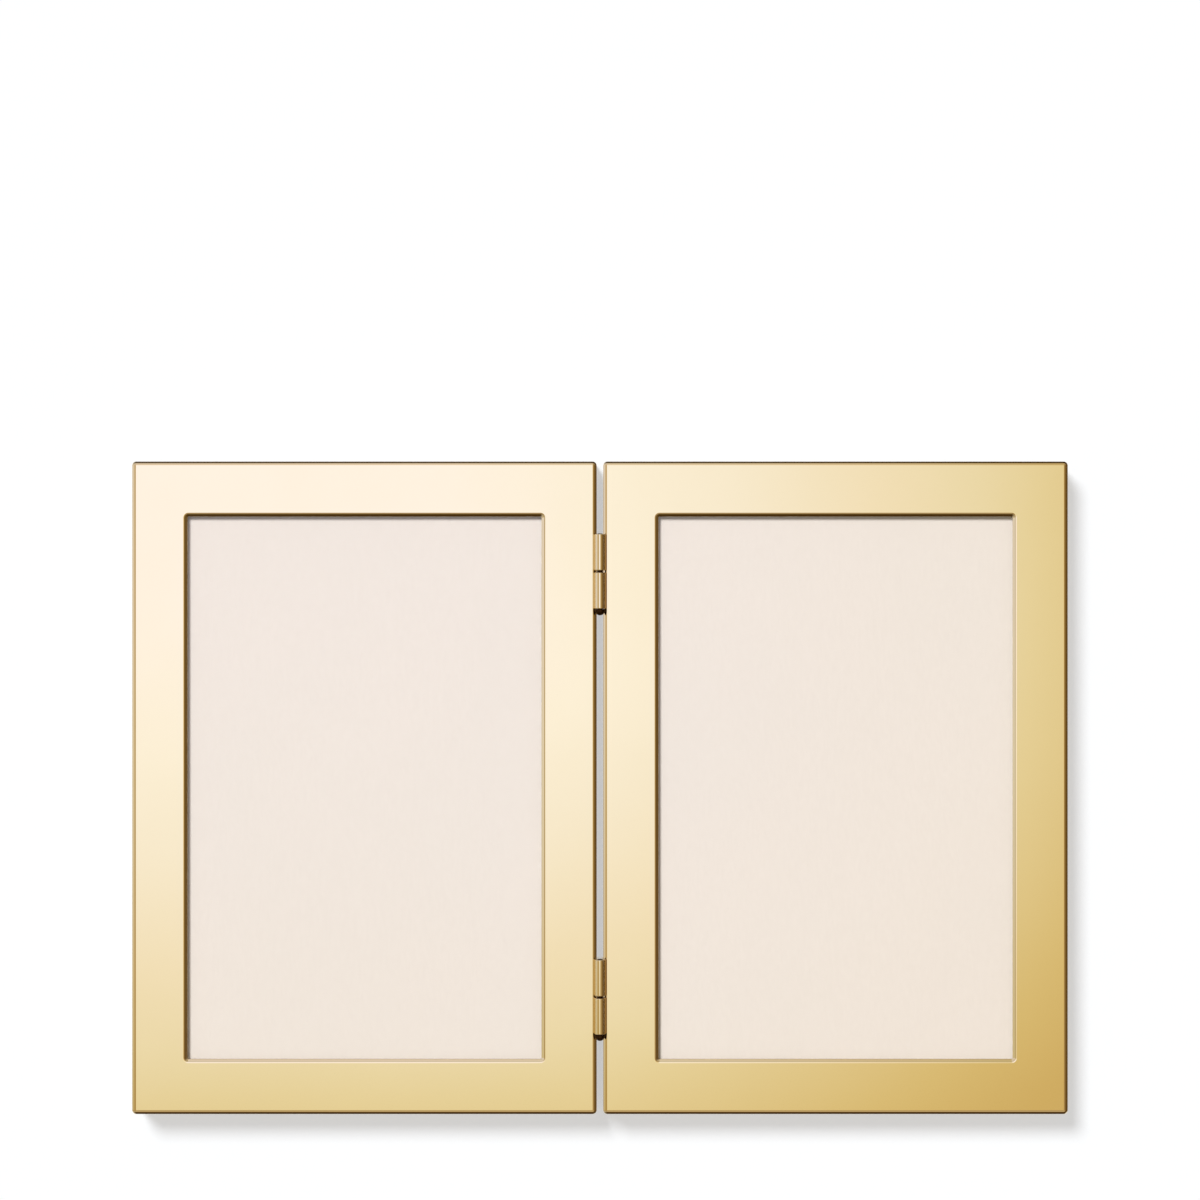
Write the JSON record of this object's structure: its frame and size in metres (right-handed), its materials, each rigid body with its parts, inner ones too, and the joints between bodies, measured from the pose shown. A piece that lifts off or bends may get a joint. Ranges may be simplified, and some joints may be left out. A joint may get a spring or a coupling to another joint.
{
  "type": "double photo frame",
  "caption": "Double photo frame in polished gold metal: flat-bordered leaves with clear glass over cream inserts, joined by small butt hinges, opening flat and folding face to face.",
  "frame": {"origin": "midway between the two leaves and half way up the pictures, on the surface that the open frame lies on", "axes": "+X from the left leaf to the right leaf, +Y towards the top of the pictures, +Z the way the pictures face"},
  "size_m": [0.2526, 0.1762, 0.0145],
  "materials": {
    "gold_plate": "polished gold plating",
    "clear_glass": "clear, polished",
    "cream_card": "smooth matte",
    "grey_board": "raw grey board",
    "brown_board": "raw hardboard",
    "suede_lining": "short-napped suede cloth",
    "plain_brass": "plain lacquered brass",
    "dark_bronze": "chemically browned bronze"
  },
  "bodies": {
    "left_leaf": {"left_bezel": "gold_plate", "left_glass": "clear_glass", "left_insert_card": "cream_card", "left_filler_board": "grey_board", "left_back_panel": "brown_board", "left_panel_lining": "suede_lining", "left_backing_ring": "brown_board", "left_ring_lining": "suede_lining", "left_clip_screw_outer_upper": "plain_brass", "left_clip_screw_outer_lower": "plain_brass", "left_clip_screw_hinge_upper": "plain_brass", "left_clip_screw_hinge_lower": "plain_brass", "upper_hinge_pin": "dark_bronze", "upper_hinge_left_plate": "gold_plate", "upper_hinge_left_screw_upper": "plain_brass", "upper_hinge_left_screw_lower": "plain_brass", "lower_hinge_pin": "dark_bronze", "lower_hinge_left_plate": "gold_plate", "lower_hinge_left_screw_upper": "plain_brass", "lower_hinge_left_screw_lower": "plain_brass"},
    "right_leaf": {"right_bezel": "gold_plate", "right_glass": "clear_glass", "right_insert_card": "cream_card", "right_filler_board": "grey_board", "right_back_panel": "brown_board", "right_panel_lining": "suede_lining", "right_backing_ring": "brown_board", "right_ring_lining": "suede_lining", "right_clip_screw_outer_upper": "plain_brass", "right_clip_screw_outer_lower": "plain_brass", "right_clip_screw_hinge_upper": "plain_brass", "right_clip_screw_hinge_lower": "plain_brass", "upper_hinge_right_plate": "gold_plate", "upper_hinge_right_screw_upper": "plain_brass", "upper_hinge_right_screw_lower": "plain_brass", "lower_hinge_right_plate": "gold_plate", "lower_hinge_right_screw_upper": "plain_brass", "lower_hinge_right_screw_lower": "plain_brass"},
    "left_clip_outer_upper": {"left_clip_outer_upper": "plain_brass"},
    "left_clip_outer_lower": {"left_clip_outer_lower": "plain_brass"},
    "left_clip_hinge_upper": {"left_clip_hinge_upper": "plain_brass"},
    "left_clip_hinge_lower": {"left_clip_hinge_lower": "plain_brass"},
    "right_clip_outer_upper": {"right_clip_outer_upper": "plain_brass"},
    "right_clip_outer_lower": {"right_clip_outer_lower": "plain_brass"},
    "right_clip_hinge_upper": {"right_clip_hinge_upper": "plain_brass"},
    "right_clip_hinge_lower": {"right_clip_hinge_lower": "plain_brass"}
  },
  "joints": [
    {"name": "leaf_fold", "type": "hinge", "parent": "left_leaf", "child": "right_leaf", "pos_m": [0, 0, 0.01295], "axis": [0, -1, 0], "range_deg": [0, 180]},
    {"name": "left_clip_outer_upper_turn", "type": "hinge", "parent": "left_leaf", "child": "left_clip_outer_upper", "pos_m": [-0.11968, 0.045, 0.0027], "axis": [0, 0, 1], "range_deg": [-90, 90]},
    {"name": "left_clip_outer_lower_turn", "type": "hinge", "parent": "left_leaf", "child": "left_clip_outer_lower", "pos_m": [-0.11968, -0.045, 0.0027], "axis": [0, 0, 1], "range_deg": [-90, 90]},
    {"name": "left_clip_hinge_upper_turn", "type": "hinge", "parent": "left_leaf", "child": "left_clip_hinge_upper", "pos_m": [-0.00752, 0.045, 0.0027], "axis": [0, 0, 1], "range_deg": [-90, 90]},
    {"name": "left_clip_hinge_lower_turn", "type": "hinge", "parent": "left_leaf", "child": "left_clip_hinge_lower", "pos_m": [-0.00752, -0.045, 0.0027], "axis": [0, 0, 1], "range_deg": [-90, 90]},
    {"name": "right_clip_outer_upper_turn", "type": "hinge", "parent": "right_leaf", "child": "right_clip_outer_upper", "pos_m": [0.11968, 0.045, 0.0027], "axis": [0, 0, 1], "range_deg": [-90, 90]},
    {"name": "right_clip_outer_lower_turn", "type": "hinge", "parent": "right_leaf", "child": "right_clip_outer_lower", "pos_m": [0.11968, -0.045, 0.0027], "axis": [0, 0, 1], "range_deg": [-90, 90]},
    {"name": "right_clip_hinge_upper_turn", "type": "hinge", "parent": "right_leaf", "child": "right_clip_hinge_upper", "pos_m": [0.00752, 0.045, 0.0027], "axis": [0, 0, 1], "range_deg": [-90, 90]},
    {"name": "right_clip_hinge_lower_turn", "type": "hinge", "parent": "right_leaf", "child": "right_clip_hinge_lower", "pos_m": [0.00752, -0.045, 0.0027], "axis": [0, 0, 1], "range_deg": [-90, 90]}
  ]
}
